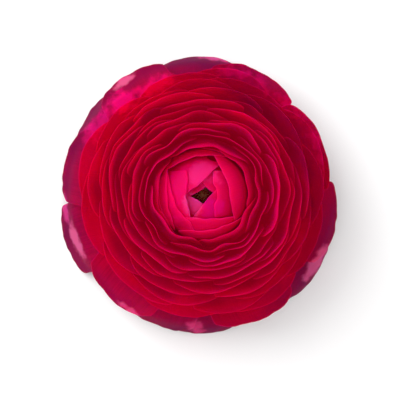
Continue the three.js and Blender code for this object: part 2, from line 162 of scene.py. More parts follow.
CLAW_WIDTH = 0.09
FULL_WIDTH_AT = 0.62
ROOT_SHARE = 0.5
TAPER_FROM = 0.6
NARROWEST_RADIUS = 0.3  # the least radius, in millimetres, that a petal's turn is worked out at
WIDEST_WRAP = math.radians(78)
RUFFLES = 9
RUFFLE_TWIST = 25
# Waves of the rim: height, radians from the middle to a side, and how far those radians vary.
FRILL_WAVES = [(1.0, 5, 2), (0.6, 13, 4), (0.35, 25, 5)]
NICK_WAVE = (1.4, 4.5, 2)  # the same for the sharp nicks
WAVE_SHIFT = 3
RESTING_HEIGHT = 0.12  # in millimetres


def frill_at(k, u):
    """How far the rim of petal k is drawn in at u: three sizes of wave, and a few sharp nicks."""
    total = 0
    for n, (height, radians, varied) in enumerate(FRILL_WAVES):
        phase = u * (radians + varied * scatter(k, 31 + 2 * n)) + WAVE_SHIFT * scatter(k, 32 + 2 * n)
        total = total + height * np.sin(phase)
    height, radians, varied = NICK_WAVE
    phase = u * (radians + varied * scatter(k, 37)) + WAVE_SHIFT * scatter(k, 38)
    return total + height * (1 - np.abs(np.sin(phase))) ** 3


def petal_surface(petal, u, v):
    """The petal's middle surface in metres. u runs across from -1 to 1 and v from base to rim."""
    tip = np.maximum(v - ROOT_SHARE, 0) / (1 - ROOT_SHARE)
    along = np.minimum(v, ROOT_SHARE) + tip * (petal["reach"] - ROOT_SHARE)
    radius_there = profile_points(np.full(u.shape, petal["depth"]), along)[:, 0]
    radius_there = np.maximum(radius_there, NARROWEST_RADIUS)
    share = CLAW_WIDTH + (1 - CLAW_WIDTH) * smooth(v / FULL_WIDTH_AT)
    share = share * (1 - petal["taper"] * smooth((v - TAPER_FROM) / (1 - TAPER_FROM)))
    turn = WIDEST_WRAP * np.tanh(u * petal["half_width"] * share / radius_there / WIDEST_WRAP)
    rim_distance = petal["rim_radius"] / petal["length"] + 1 - petal["reach"]
    straightening = petal["straightness"] * rim_distance * (1 / np.cos(turn) - 1)
    corner = petal["reach"] * (petal["corner"] * np.abs(u) ** petal["corner_power"] - petal["slant"] * u)
    frill = petal["frill"] * frill_at(petal["number"], u)
    t = along - smooth(tip) * (straightening + corner) - tip ** 3 * frill
    azimuth = petal["azimuth"] + turn
    sample = (azimuth % FULL_TURN) / FULL_TURN * SAMPLES
    before = np.floor(sample).astype(int) % SAMPLES
    depths = petal["depths"]
    depth = depths[before] + (depths[(before + 1) % SAMPLES] - depths[before]) * (sample - np.floor(sample))
    ruffle = np.sin(RUFFLES * azimuth + RUFFLE_TWIST * petal["depth"])
    depth = depth + petal["ruffle"] * smooth(tip) * ruffle
    radius, height = profile_points(depth, t).T
    height = np.maximum(height, RESTING_HEIGHT)
    points = np.stack([radius * np.cos(azimuth), radius * np.sin(azimuth), height], axis=1) * MM
    return points + AXIS


def petal_sheet(petal, across, along, thickness, stuffs):
    """One petal: a grid laid on its surface, thickened and rounded.
    stuffs are the materials of its outer face, its inner face and its rim."""
    bpy.ops.object.select_all(action="DESELECT")
    bpy.ops.mesh.primitive_grid_add(x_subdivisions=across, y_subdivisions=along, size=2)
    piece = bpy.context.object
    piece.name = petal["name"]
    piece.data.name = petal["name"]
    flat = np.empty(len(piece.data.vertices) * 3)
    piece.data.vertices.foreach_get("co", flat)
    flat = flat.reshape(-1, 3)
    placed = petal_surface(petal, flat[:, 0], (flat[:, 1] + 1) / 2)
    piece.data.vertices.foreach_set("co", placed.ravel())
    piece.data.update()
    for stuff in stuffs:
        piece.data.materials.append(stuff)
    skin = piece.modifiers.new("skin", "SOLIDIFY")
    skin.thickness = thickness
    skin.offset = 0
    skin.use_even_offset = False
    skin.material_offset = 1
    skin.material_offset_rim = 2
    rounding = piece.modifiers.new("rounding", "SUBSURF")
    rounding.levels = rounding.render_levels = 1
    bpy.ops.object.modifier_apply(modifier="skin")
    bpy.ops.object.modifier_apply(modifier="rounding")
    bpy.ops.object.shade_smooth()
    return piece


OUTER_SHADE_AND_DARKENING_COLOUR = np.array([0.075, 0.0, 0.036, 1.0])  # on the outer petals: their darkening towards the outline, and the painted shade on their right side
PAINTED_GAP_SHADE_COLOUR = np.array([0.085, 0.0, 0.008, 1.0])  # painted shade down between the petals round the bud


def petal_stuff(name, root, body, edge, rim_line, roughness, painted_glow, streak=0.09):
    """A petal face: colour runs from root to edge along the petal, with veins, darkening towards the
    outline, painted shade on one side and in the gaps round the bud, and patches of painted highlight, sheen
    and shade.
    Its glow is a painted glow, an emission that stands in for the light coming through the petal from
    behind, and streak is how strongly the veins show."""
    stuff = bpy.data.materials.new(name)
    stuff.use_nodes = True
    tree = stuff.node_tree
    shader = tree.nodes["Principled BSDF"]
    new, link = tree.nodes.new, tree.links.new

    own_map = new("ShaderNodeUVMap")
    own_map.uv_map = "UVMap"
    parts = new("ShaderNodeSeparateXYZ")
    link(own_map.outputs["UV"], parts.inputs["Vector"])
    place = new("ShaderNodeTexCoord")

    # Colour along the petal, its boundary moved about by a broad noise.
    broad = new("ShaderNodeTexNoise")
    broad.inputs["Scale"].default_value = 90
    broad.inputs["Detail"].default_value = 3
    link(place.outputs["Object"], broad.inputs["Vector"])
    shifted = new("ShaderNodeMath")
    shifted.operation = "MULTIPLY_ADD"
    shifted.inputs[1].default_value = 0.22
    link(broad.outputs["Fac"], shifted.inputs[0])
    link(parts.outputs["Y"], shifted.inputs[2])
    ramp = new("ShaderNodeValToRGB")
    ramp.color_ramp.interpolation = "EASE"
    stops = ramp.color_ramp.elements
    stops[0].position, stops[0].color = 0.25, (*root, 1)
    stops[1].position, stops[1].color = 0.62, (*body, 1)
    outer_stop = stops.new(1.03)
    outer_stop.color = (*edge, 1)
    link(shifted.outputs[0], ramp.inputs["Fac"])

    # Fine veins that run from the claw to the rim.
    streak_map = new("ShaderNodeMapping")
    streak_map.inputs["Scale"].default_value = (70, 2.2, 1)
    link(own_map.outputs["UV"], streak_map.inputs["Vector"])
    streaks = new("ShaderNodeTexNoise")
    streaks.inputs["Scale"].default_value = 1
    streaks.inputs["Detail"].default_value = 4
    streaks.inputs["Roughness"].default_value = 0.6
    link(streak_map.outputs["Vector"], streaks.inputs["Vector"])
    streak_shade = new("ShaderNodeMapRange")
    streak_shade.inputs["From Min"].default_value = 0.3
    streak_shade.inputs["From Max"].default_value = 0.7
    streak_shade.inputs["To Min"].default_value = 1 - streak
    streak_shade.inputs["To Max"].default_value = 1 + 0.8 * streak
    link(streaks.outputs["Fac"], streak_shade.inputs["Value"])
    veined = new("ShaderNodeMix")
    veined.data_type = "RGBA"
    veined.blend_type = "MULTIPLY"
    veined.inputs["Factor"].default_value = 1
    link(ramp.outputs["Color"], veined.inputs["A"])
    link(streak_shade.outputs["Result"], veined.inputs["B"])

    # The thin line of another colour at the rim, and the painted shade and darkening, broken into clouds,
    # towards their own tint.
    # On the bud and open petals the rim line is lighter than the edge, a painted highlight where the rim
    # catches the light; on the guard petals it is darker purple.
    line = new("ShaderNodeMapRange")
    line.interpolation_type = "SMOOTHSTEP"
    line.inputs["From Min"].default_value = 0.955
    line.inputs["From Max"].default_value = 1.0
    line.inputs["To Max"].default_value = 0.6
    link(parts.outputs["Y"], line.inputs["Value"])
    lined = new("ShaderNodeMix")
    lined.data_type = "RGBA"
    lined.inputs["B"].default_value = (*rim_line, 1)
    link(line.outputs["Result"], lined.inputs["Factor"])
    link(veined.outputs["Result"], lined.inputs["A"])
    painted_shade_and_darkening = new("ShaderNodeAttribute")
    painted_shade_and_darkening.attribute_name = "painted_shade_and_darkening"
    cloudy = new("ShaderNodeMath")
    cloudy.operation = "MULTIPLY_ADD"
    cloudy.use_clamp = True
    cloudy.inputs[1].default_value = 1.6
    link(painted_shade_and_darkening.outputs["Fac"], cloudy.inputs[0])
    cloud = new("ShaderNodeMapRange")
    cloud.inputs["From Min"].default_value = 0.3
    cloud.inputs["From Max"].default_value = 0.7
    cloud.inputs["To Min"].default_value = -0.40
    cloud.inputs["To Max"].default_value = 0.0
    link(broad.outputs["Fac"], cloud.inputs["Value"])
    link(cloud.outputs["Result"], cloudy.inputs[2])
    with_shade_and_darkening = new("ShaderNodeMix")
    with_shade_and_darkening.data_type = "RGBA"
    painted_shade_and_darkening_tint = new("ShaderNodeAttribute")
    painted_shade_and_darkening_tint.attribute_name = "painted_shade_and_darkening_tint"
    link(cloudy.outputs[0], with_shade_and_darkening.inputs["Factor"])
    link(lined.outputs["Result"], with_shade_and_darkening.inputs["A"])
    link(painted_shade_and_darkening_tint.outputs["Color"], with_shade_and_darkening.inputs["B"])

    # Painted light lies in patches with broken edges: highlights and pale sheen where the light and the
    # white surround catch the petals, and some darker painted shade on the upper right.
    painted_light_patch = new("ShaderNodeAttribute")
    painted_light_patch.attribute_name = "painted_light_patch"
    tint = new("ShaderNodeAttribute")
    tint.attribute_name = "painted_light_tint"
    ragged = new("ShaderNodeTexNoise")
    ragged.inputs["Scale"].default_value = 380
    ragged.inputs["Detail"].default_value = 3
    ragged.inputs["Roughness"].default_value = 0.5
    link(place.outputs["Object"], ragged.inputs["Vector"])
    uneven = new("ShaderNodeMath")
    uneven.operation = "MULTIPLY_ADD"
    uneven.inputs[1].default_value = 1.1
    link(ragged.outputs["Fac"], uneven.inputs[0])
    link(painted_light_patch.outputs["Fac"], uneven.inputs[2])
    patch = new("ShaderNodeMapRange")
    patch.interpolation_type = "SMOOTHSTEP"
    patch.inputs["From Min"].default_value = 0.90
    patch.inputs["From Max"].default_value = 1.42
    patch.inputs["To Max"].default_value = 0.85
    link(uneven.outputs[0], patch.inputs["Value"])
    with_painted_light = new("ShaderNodeMix")
    with_painted_light.data_type = "RGBA"
    link(patch.outputs["Result"], with_painted_light.inputs["Factor"])
    link(with_shade_and_darkening.outputs["Result"], with_painted_light.inputs["A"])
    link(tint.outputs["Color"], with_painted_light.inputs["B"])
    link(with_painted_light.outputs["Result"], shader.inputs["Base Color"])

    # Velvet: a soft uneven roughness, the veins raised, and a grain of tiny cells.
    rough = new("ShaderNodeMapRange")
    rough.inputs["To Min"].default_value = roughness - 0.08
    rough.inputs["To Max"].default_value = roughness + 0.10
    link(broad.outputs["Fac"], rough.inputs["Value"])
    link(rough.outputs["Result"], shader.inputs["Roughness"])
    cells = new("ShaderNodeTexNoise")
    cells.inputs["Scale"].default_value = 2600
    cells.inputs["Detail"].default_value = 2
    link(place.outputs["Object"], cells.inputs["Vector"])
    grain = new("ShaderNodeBump")
    grain.inputs["Strength"].default_value = 0.12
    grain.inputs["Distance"].default_value = 0.0001
    link(cells.outputs["Fac"], grain.inputs["Height"])
    ridges = new("ShaderNodeBump")
    ridges.inputs["Strength"].default_value = 0.12
    ridges.inputs["Distance"].default_value = 0.0003
    link(streaks.outputs["Fac"], ridges.inputs["Height"])
    link(grain.outputs["Normal"], ridges.inputs["Normal"])
    link(ridges.outputs["Normal"], shader.inputs["Normal"])

    shader.inputs["Specular IOR Level"].default_value = 0.08
    shader.inputs["Specular Tint"].default_value = (1.0, 0.25, 0.5, 1)
    # Painted glow: a faint crimson emission that stands in for light coming through the thin petals.
    shader.inputs["Emission Color"].default_value = (1.0, 0.0, 0.06, 1)
    shader.inputs["Emission Strength"].default_value = painted_glow
    shader.inputs["Subsurface Weight"].default_value = 0.8
    shader.inputs["Subsurface Radius"].default_value = (1.0, 0.03, 0.12)
    shader.inputs["Subsurface Scale"].default_value = 0.002
    return stuff


# The painted light is full out to half the size of its patch, and fades to nothing at twice that size.
PAINTED_PATCH_CORE, PAINTED_PATCH_FALL = 1.3, 0.65
SHADE_ZONE_WRAP = 40  # azimuths are counted from half a turn before this one to half a turn past it
# Painted shade in two zones on the right, the side away from the light: strength, azimuth, width, and the
# radius where it starts and over which it grows.
PAINTED_SHADE_ZONES = [(1.1, 40, 44, 22, 12), (0.5, -20, 45, 27, 9)]
# Darkening all the way round, towards the outline: strength, and the radius where it starts and over which
# it grows.
DARKENING_BANDS = [(0.36, 24, 10), (0.28, 37.5, 3.5)]
# Painted shade in the gaps round the bud: it darkens from this far below the rim, over this run, between an
# inner and an outer radius.
GAP_STRENGTH = 1.1
GAP_TOP, GAP_RUN = 0.6, 3.0
GAP_INSIDE, GAP_INSIDE_RUN = 11.2, 1.6
GAP_OUTSIDE, GAP_OUTSIDE_RUN = 16.4, 3.4
GAP_TINT_OUTSIDE, GAP_TINT_RUN = 22, 3


def mark_petal(piece, places, shade_and_darkening_strength):
    """Painted light is strongest at each place (azimuth, radius, half length round, half depth, strength,
    colour): painted highlights and sheen, and on the upper right painted shade.
    The petals darken towards the outline, painted shade darkens them most of all on one side, and painted
    shade darkens the gaps round the bud."""
    count = len(piece.data.vertices)
    points = np.empty(count * 3)
    piece.data.vertices.foreach_get("co", points)
    points = (points.reshape(-1, 3) - AXIS) / MM
    strength = np.zeros(count)
    tint = np.ones((count, 4))
    radius = np.hypot(points[:, 0], points[:, 1])
    azimuth = np.arctan2(points[:, 1], points[:, 0])
    for middle, distance_out, half_round, half_deep, amount, colour in places:
        turn = (azimuth - math.radians(middle) + math.pi) % FULL_TURN - math.pi
        distance = np.hypot(turn * distance_out / half_round, (radius - distance_out) / half_deep)
        here = amount * np.clip(PAINTED_PATCH_CORE - PAINTED_PATCH_FALL * distance, 0, 1)
        tint[here > strength, :3] = colour
        strength = np.maximum(strength, here)
    painted_shade_and_darkening = np.zeros(count)
    # Painted shade on the right, away from the light, then darkening all round towards the outline.
    for amount, middle, width, start, run in PAINTED_SHADE_ZONES:
        away = (np.degrees(azimuth) - SHADE_ZONE_WRAP + 180) % 360 - 180 + SHADE_ZONE_WRAP - middle
        painted_shade_and_darkening = painted_shade_and_darkening + amount * np.exp(-(away / width) ** 2) * smooth((radius - start) / run)
    for amount, start, run in DARKENING_BANDS:
        painted_shade_and_darkening = painted_shade_and_darkening + amount * smooth((radius - start) / run)
    # Painted shade down in the gaps round the bud; near the bud the tint is the painted gap shade colour.
    below_rim = smooth((points[:, 2].max() - points[:, 2] - GAP_TOP) / GAP_RUN)
    round_bud = smooth((radius - GAP_INSIDE) / GAP_INSIDE_RUN)
    round_bud = round_bud * smooth((GAP_OUTSIDE - radius) / GAP_OUTSIDE_RUN)
    painted_shade_and_darkening = painted_shade_and_darkening + GAP_STRENGTH * below_rim * round_bud
    inner = smooth((GAP_TINT_OUTSIDE - radius) / GAP_TINT_RUN)[:, None]
    painted_shade_and_darkening_tint = inner * PAINTED_GAP_SHADE_COLOUR + (1 - inner) * OUTER_SHADE_AND_DARKENING_COLOUR
    new = piece.data.attributes.new
    new("painted_shade_and_darkening_tint", "FLOAT_COLOR", "POINT").data.foreach_set("color", painted_shade_and_darkening_tint.ravel())
    new("painted_light_patch", "FLOAT", "POINT").data.foreach_set("value", strength)
    new("painted_light_tint", "FLOAT_COLOR", "POINT").data.foreach_set("color", tint.ravel())
    new("painted_shade_and_darkening", "FLOAT", "POINT").data.foreach_set("value", shade_and_darkening_strength * np.clip(painted_shade_and_darkening, 0, 1))


BUD_PETALS = [  # depth, azimuth, distance of the rim from the axis, half width, slant, straightness, taper
    (0.000, 121, 1.2, 7.0, 0.0, 1.0, 0.45),
    (0.025, 237, 2.0, 7.0, 0.0, 1.0, 0.45),
    (0.048, 47, 1.9, 7.5, 0.0, 1.0, 0.45),
    (0.075, 318, 1.4, 10.0, 0.0, 1.0, 0.3),
    (0.102, 2, 3.6, 8.5, 0.0, 0.2, 0.25),
    (0.121, 131, 2.7, 11.0, -0.01, 1.0, 0.3),
    (0.151, 184, 4.8, 10.0, 0.0, 0.15, 0.3),
    (0.172, 276, 6.7, 11.5, -0.03, 0.48, 0.2),
    (0.195, 20, 7.0, 12.5, -0.02, 0.45, 0.2),
    (0.199, 202, 8.0, 12.0, 0.02, 0.2, 0.2),
    (0.217, 98, 10.6, 12.7, 0.02, 0.3, 0.15),
    (0.225, 285, 9.9, 12.5, -0.02, 0.3, 0.15),
    (0.247, 186, 10.0, 11.2, 0.0, 0.3, 0.15),
    (0.244, 62, 12.6, 13.0, 0.0, 0.1, 0.15),
    (0.275, 192, 12.2, 12.5, 0.0, 0.1, 0.15),
]
BUD_THICKNESS = 0.2 * MM
BUD_ACROSS, BUD_ALONG = 24, 26


def reach_for_rim(depth, rim):
    """The share of the profile's length at which a bud petal comes this near to the axis."""
    low, high = 0.6, 1.0
    for _ in range(30):
        middle = (low + high) / 2
        if radius_at(depth, middle) > rim:
            low = middle
        else:
            high = middle
    return high


bud_outer = petal_stuff("bud_outer_face", (0.52, 0.0, 0.03), (0.66, 0.0, 0.050), (0.72, 0.0, 0.065),
                        (0.86, 0.003, 0.095), 0.46, 0.05)
bud_inner = petal_stuff("bud_inner_face", (0.40, 0.0, 0.03), (0.52, 0.0, 0.05), (0.60, 0.0, 0.07),
                        (0.85, 0.01, 0.16), 0.5, 0.05)
bud_rim = petal_stuff("bud_rim", (0.60, 0.0, 0.05), (0.72, 0.0, 0.07), (0.86, 0.0, 0.09),
                      (0.90, 0.005, 0.11), 0.5, 0.05)
# Painted highlights on the bud: on its lit left side, at the rim of its top petal and on the lips round the
# eye.
BUD_PAINTED_HIGHLIGHTS = [
    (160, 8.5, 9.0, 4.5, 0.9, (0.88, 0.0, 0.11)),
    (99, 6.0, 5.0, 3.0, 0.95, (0.97, 0.012, 0.17)),
    (220, 3.9, 3.0, 2.5, 1.0, (0.97, 0.03, 0.22)),
    (300, 4.2, 3.0, 2.6, 0.9, (0.80, 0.0, 0.15)),
]

for k, (depth, azimuth, rim, half_width, slant, straightness, taper) in enumerate(BUD_PETALS):
    petal = make_petal(
        f"bud_wrap_{k + 1:02d}", depth, azimuth, number=k, reach=reach_for_rim(depth, rim),
        half_width=half_width, slant=slant, taper=taper, straightness=straightness,
        corner=0.05, corner_power=4, frill=0.003)
    lay_petal(petal)
    piece = petal_sheet(petal, BUD_ACROSS, BUD_ALONG, BUD_THICKNESS, (bud_outer, bud_inner, bud_rim))
    mark_petal(piece, BUD_PAINTED_HIGHLIGHTS, 1)
    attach(piece, "root")
    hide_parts(f"bud_petal_{k + 1}")

# ------------------------------------------------------------------ the open petals
# Seventy-two full-grown petals in overlapping turns round the bud, set at the golden angle. They are thin,
# velvety and crimson on both faces, with wavy rims, and stand on the receptacle by their claws.

OPEN_PLACES = 72
OPEN_SOLIDS = 24
OPEN_FIRST_DEPTH, OPEN_LAST_DEPTH = 0.33, 0.86
OPEN_CROWDING = 1.12  # above 1, the inner turns are closer together than the outer ones
OPEN_FIRST_AZIMUTH = 35
OPEN_AZIMUTH_SCATTER = 9
GOLDEN_ANGLE = 137.508
OPEN_THICKNESS = 0.2 * MM
OPEN_ACROSS, OPEN_ALONG = 20, 20

open_inner = petal_stuff("open_inner_face", (0.34, 0.0, 0.034), (0.37, 0.0, 0.054), (0.37, 0.0, 0.066),
                         (0.38, 0.0, 0.066), 0.55, 0.10, 0.14)
open_outer = petal_stuff("open_outer_face", (0.33, 0.0, 0.036), (0.35, 0.0, 0.052), (0.36, 0.0, 0.062),
                         (0.37, 0.0, 0.062), 0.5, 0.10, 0.14)
open_rim = petal_stuff("open_rim", (0.34, 0.0, 0.034), (0.35, 0.0, 0.042), (0.36, 0.0, 0.046),
                       (0.36, 0.0, 0.048), 0.5, 0.10)
# Painted light on the open petals: highlights on the upper left, facing the light, and darker painted shade
# on the upper right.
OPEN_PAINTED_LIGHT_AND_SHADE = [
    (64, 24.0, 3.6, 1.6, 0.85, (0.62, 0.0, 0.085)),
    (50, 35.6, 9.0, 2.6, 0.75, (0.27, 0.0, 0.10)),
    (22, 36.0, 7.0, 2.2, 0.7, (0.25, 0.0, 0.09)),
    (78, 37.0, 7.0, 2.0, 0.7, (0.30, 0.0, 0.10)),
    (131, 35.0, 3.4, 3.4, 0.85, (0.66, 0.0, 0.14)),
    (113, 34.4, 5.0, 2.2, 0.85, (0.60, 0.0, 0.11)),
    (148, 36.5, 5.0, 2.6, 0.7, (0.52, 0.0, 0.11)),
]

for k in range(OPEN_PLACES):
    azimuth = OPEN_FIRST_AZIMUTH + k * GOLDEN_ANGLE + OPEN_AZIMUTH_SCATTER * scatter(k, 1)
    outwards = (k / (OPEN_PLACES - 1)) ** OPEN_CROWDING
    depth = OPEN_FIRST_DEPTH + (OPEN_LAST_DEPTH - OPEN_FIRST_DEPTH) * outwards
    petal = make_petal(
        f"ring_petal_{k + 1:02d}", depth, azimuth,
        number=100 + k, reach=0.985 + 0.055 * scatter(k, 2),
        half_width=spread(14.5, 13.5, k, OPEN_PLACES) + 1.5 * scatter(k, 3), slant=0.035 * scatter(k, 4),
        bow=0.04 + 0.012 * scatter(k, 5), ruffle=spread(0.004, 0.007, k, OPEN_PLACES), taper=0.03,
        straightness=spread(0.3, 0.1, k, OPEN_PLACES), corner=spread(0.06, 0.13, k, OPEN_PLACES),
        corner_power=spread(5, 2.4, k, OPEN_PLACES), frill=spread(0.005, 0.009, k, OPEN_PLACES))
    lay_petal(petal)
    piece = petal_sheet(petal, OPEN_ACROSS, OPEN_ALONG, OPEN_THICKNESS, (open_outer, open_inner, open_rim))
    mark_petal(piece, OPEN_PAINTED_LIGHT_AND_SHADE, 0.95)
    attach(piece, "root")
    if (k + 1) * OPEN_SOLIDS // OPEN_PLACES > k * OPEN_SOLIDS // OPEN_PLACES:
        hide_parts(f"open_petal_{k + 1}")

# ------------------------------------------------------------------ the guard petals
# The lowest row: thirteen broad outer petals that droop, the last of them down to the surface that the
# flower rests on. They turn darker and purple towards the rim, with painted shade on their right side, and
# carry painted highlights and pale painted sheen in patches.

GUARD_FIRST_DEPTH, GUARD_LAST_DEPTH = 0.875, 1.0
GUARD_PETALS = [  # azimuth, half width, reach, which is None where the petal comes down to the surface
    (25, 16.0, 1.01),
    (294, 14.0, 1.15),
    (66, 14.5, 1.08),
    (229, 13.5, 1.14),
    (347, 14.0, 1.04),
    (123, 12.5, 1.19),
    (167, 12.5, 1.17),
    (249, 13.0, 1.05),
    (199, 12.0, None),
    (148, 13.5, None),
    (94, 14.5, None),
    (268, 11.5, None),
    (322, 14.5, None),
]
GUARD_THICKNESS = 0.2 * MM
GUARD_ACROSS, GUARD_ALONG = 24, 26

guard_inner = petal_stuff("guard_inner_face", (0.24, 0.0, 0.02), (0.30, 0.0, 0.034), (0.27, 0.0, 0.042),
                          (0.20, 0.0, 0.040), 0.5, 0.05, 0.30)
guard_outer = petal_stuff("guard_outer_face", (0.30, 0.01, 0.04), (0.36, 0.0, 0.05), (0.28, 0.0, 0.06),
                          (0.26, 0.002, 0.08), 0.5, 0.05, 0.24)
guard_rim = petal_stuff("guard_rim", (0.26, 0.0, 0.04), (0.30, 0.0, 0.05), (0.24, 0.002, 0.06),
                        (0.22, 0.004, 0.08), 0.5, 0.05, 0.24)
# Painted light on the guard petals: highlights on the upper left, pale painted sheen along the drooping
# rims, and darker painted shade on the upper right.
GUARD_PAINTED_LIGHT_AND_SHADE = [
    (131, 35.4, 3.8, 4.0, 0.95, (0.80, 0.0, 0.155)),
    (113, 34.9, 6.0, 2.6, 0.9, (0.66, 0.0, 0.12)),
    (147, 37.2, 6.0, 2.8, 0.85, (0.58, 0.0, 0.14)),
    (125, 41.0, 3.8, 1.1, 0.9, (0.58, 0.09, 0.24)),
    (-31, 39.2, 5.0, 1.7, 1.0, (0.50, 0.07, 0.20)),
    (-54, 40.6, 2.8, 0.9, 0.9, (0.52, 0.08, 0.22)),
    (267, 39.2, 2.4, 2.0, 0.85, (0.55, 0.03, 0.15)),
    (237, 40.0, 3.6, 0.8, 0.9, (0.50, 0.05, 0.18)),
    (200, 40.2, 5.0, 1.1, 1.0, (0.58, 0.08, 0.22)),
    (186, 41.2, 4.0, 0.9, 0.9, (0.46, 0.03, 0.18)),
    (84, 41.0, 4.5, 0.8, 0.9, (0.50, 0.05, 0.20)),
    (71, 35.6, 8.0, 3.4, 0.75, (0.33, 0.0, 0.10)),
    (46, 36.4, 6.0, 2.6, 0.75, (0.36, 0.0, 0.11)),
    (29, 35.6, 4.0, 2.4, 0.7, (0.34, 0.0, 0.10)),
]


def reach_to_surface(petal):
    """How long a guard petal is for its lowest point to come down to the surface."""
    u, v = np.meshgrid(np.linspace(-1, 1, 7), np.linspace(0, 1, 8))
    low, high = 0.9, 1.3
    for _ in range(20):
        middle = (low + high) / 2
        heights = petal_surface(dict(petal, reach=middle, frill=0.0), u.ravel(), v.ravel())[:, 2]
        if heights.min() > RESTING_HEIGHT * MM * 1.001:
            low = middle
        else:
            high = middle
    return high


guard_stuffs = (guard_outer, guard_inner, guard_rim)
for k, (azimuth, half_width, reach) in enumerate(GUARD_PETALS):
    depth = spread(GUARD_FIRST_DEPTH, GUARD_LAST_DEPTH, k, len(GUARD_PETALS))
    petal = make_petal(
        f"guard_leaf_{k + 1:02d}", depth, azimuth,
        number=200 + k, reach=reach or 1.0, half_width=half_width, slant=0.02 * scatter(k, 10),
        bow=0.02, ruffle=0.006, taper=0.04, straightness=0.4, corner=0.1, corner_power=4, frill=0.014)
    lay_petal(petal)
    if reach is None:
        petal["reach"] = reach_to_surface(petal)
    piece = petal_sheet(petal, GUARD_ACROSS, GUARD_ALONG, GUARD_THICKNESS, guard_stuffs)
    mark_petal(piece, GUARD_PAINTED_LIGHT_AND_SHADE, 1)
    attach(piece, "root")
    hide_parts(f"guard_petal_{k + 1}")

# ------------------------------------------------------------------ the sepals
# Five green sepals, bent back under the guard petals: thin downy leaves, fleshy at the base, each with a
# raised midrib. They grow from the rim of the receptacle. One is modelled and copied round the flower.

SEPAL_COUNT = 5
SEPAL_FIRST_AZIMUTH = math.radians(20)
SEPAL_PROFILE = np.array([(5.1, 8.1), (8.4, 6.6), (11.8, 4.8), (14.4, 2.8), (16.0, 0.75)])
SEPAL_HALF_WIDTH = 4.2
SEPAL_THICKNESS = 0.42 * MM
SEPAL_CUPPING = 0.45  # how far its edges stand up, in millimetres
SEPAL_BOW = 0.05  # how much shorter it is at its sides
SEPAL_MIDRIB_DEPTH, SEPAL_MIDRIB_WIDTH = 0.22, 0.10
SEPAL_WAVE, SEPAL_WAVES = 0.15, 9  # its wavy edge
SEPAL_WAVE_FROM = 0.6


def green_stuff(name, deep, pale, flush, down):
    """Living green skin: blotched, finely ribbed along the piece, with a little red flush and pale down."""
    stuff = bpy.data.materials.new(name)
    stuff.use_nodes = True
    tree = stuff.node_tree
    shader = tree.nodes["Principled BSDF"]
    new, link = tree.nodes.new, tree.links.new
    place = new("ShaderNodeTexCoord")
    blotches = new("ShaderNodeTexNoise")
    blotches.inputs["Scale"].default_value = 260
    blotches.inputs["Detail"].default_value = 4
    link(place.outputs["Object"], blotches.inputs["Vector"])
    shades = new("ShaderNodeValToRGB")
    stops = shades.color_ramp.elements
    stops[0].position, stops[0].color = 0.34, (*deep, 1)
    stops[1].position, stops[1].color = 0.60, (*pale, 1)
    flush_stop = stops.new(0.74)
    flush_stop.color = (*flush, 1)
    link(blotches.outputs["Fac"], shades.inputs["Fac"])
    own_map = new("ShaderNodeUVMap")
    own_map.uv_map = "UVMap"
    stretched = new("ShaderNodeMapping")
    stretched.inputs["Scale"].default_value = (38, 2, 1)
    link(own_map.outputs["UV"], stretched.inputs["Vector"])
    ribs = new("ShaderNodeTexNoise")
    ribs.inputs["Scale"].default_value = 1
    ribs.inputs["Detail"].default_value = 3
    link(stretched.outputs["Vector"], ribs.inputs["Vector"])
    rib_shade = new("ShaderNodeMapRange")
    rib_shade.inputs["From Min"].default_value = 0.3
    rib_shade.inputs["From Max"].default_value = 0.7
    rib_shade.inputs["To Min"].default_value = 0.78
    rib_shade.inputs["To Max"].default_value = 1.15
    link(ribs.outputs["Fac"], rib_shade.inputs["Value"])
    ribbed = new("ShaderNodeMix")
    ribbed.data_type = "RGBA"
    ribbed.blend_type = "MULTIPLY"
    ribbed.inputs["Factor"].default_value = 1
    link(shades.outputs["Color"], ribbed.inputs["A"])
    link(rib_shade.outputs["Result"], ribbed.inputs["B"])
    link(ribbed.outputs["Result"], shader.inputs["Base Color"])
    hairs = new("ShaderNodeTexNoise")
    hairs.inputs["Scale"].default_value = 5200
    hairs.inputs["Detail"].default_value = 2
    link(place.outputs["Object"], hairs.inputs["Vector"])
    nap = new("ShaderNodeBump")
    nap.inputs["Strength"].default_value = 0.35
    nap.inputs["Distance"].default_value = 0.0001
    link(hairs.outputs["Fac"], nap.inputs["Height"])
    ridges = new("ShaderNodeBump")
    ridges.inputs["Strength"].default_value = 0.45
    ridges.inputs["Distance"].default_value = 0.0002
    link(ribs.outputs["Fac"], ridges.inputs["Height"])
    link(nap.outputs["Normal"], ridges.inputs["Normal"])
    link(ridges.outputs["Normal"], shader.inputs["Normal"])
    shader.inputs["Roughness"].default_value = 0.62
    shader.inputs["Specular IOR Level"].default_value = 0.3
    shader.inputs["Sheen Weight"].default_value = down
    shader.inputs["Sheen Roughness"].default_value = 0.5
    shader.inputs["Sheen Tint"].default_value = (0.85, 0.95, 0.70, 1)
    shader.inputs["Subsurface Weight"].default_value = 0.2
    shader.inputs["Subsurface Radius"].default_value = (0.5, 0.8, 0.2)
    shader.inputs["Subsurface Scale"].default_value = 0.0008
    return stuff


def sepal_width(v):
    """Half its width at v of its length: broadest near the middle, and blunt at the tip."""
    belly = np.sin(math.pi * np.minimum(0.2 + 0.75 * v, 1))
    return SEPAL_HALF_WIDTH * (0.35 + 0.65 * belly) * (1 - 0.45 * v ** 3)


sepal_green = green_stuff("sepal_green", (0.075, 0.125, 0.022), (0.20, 0.27, 0.055),
                          (0.26, 0.14, 0.06), 0.25)

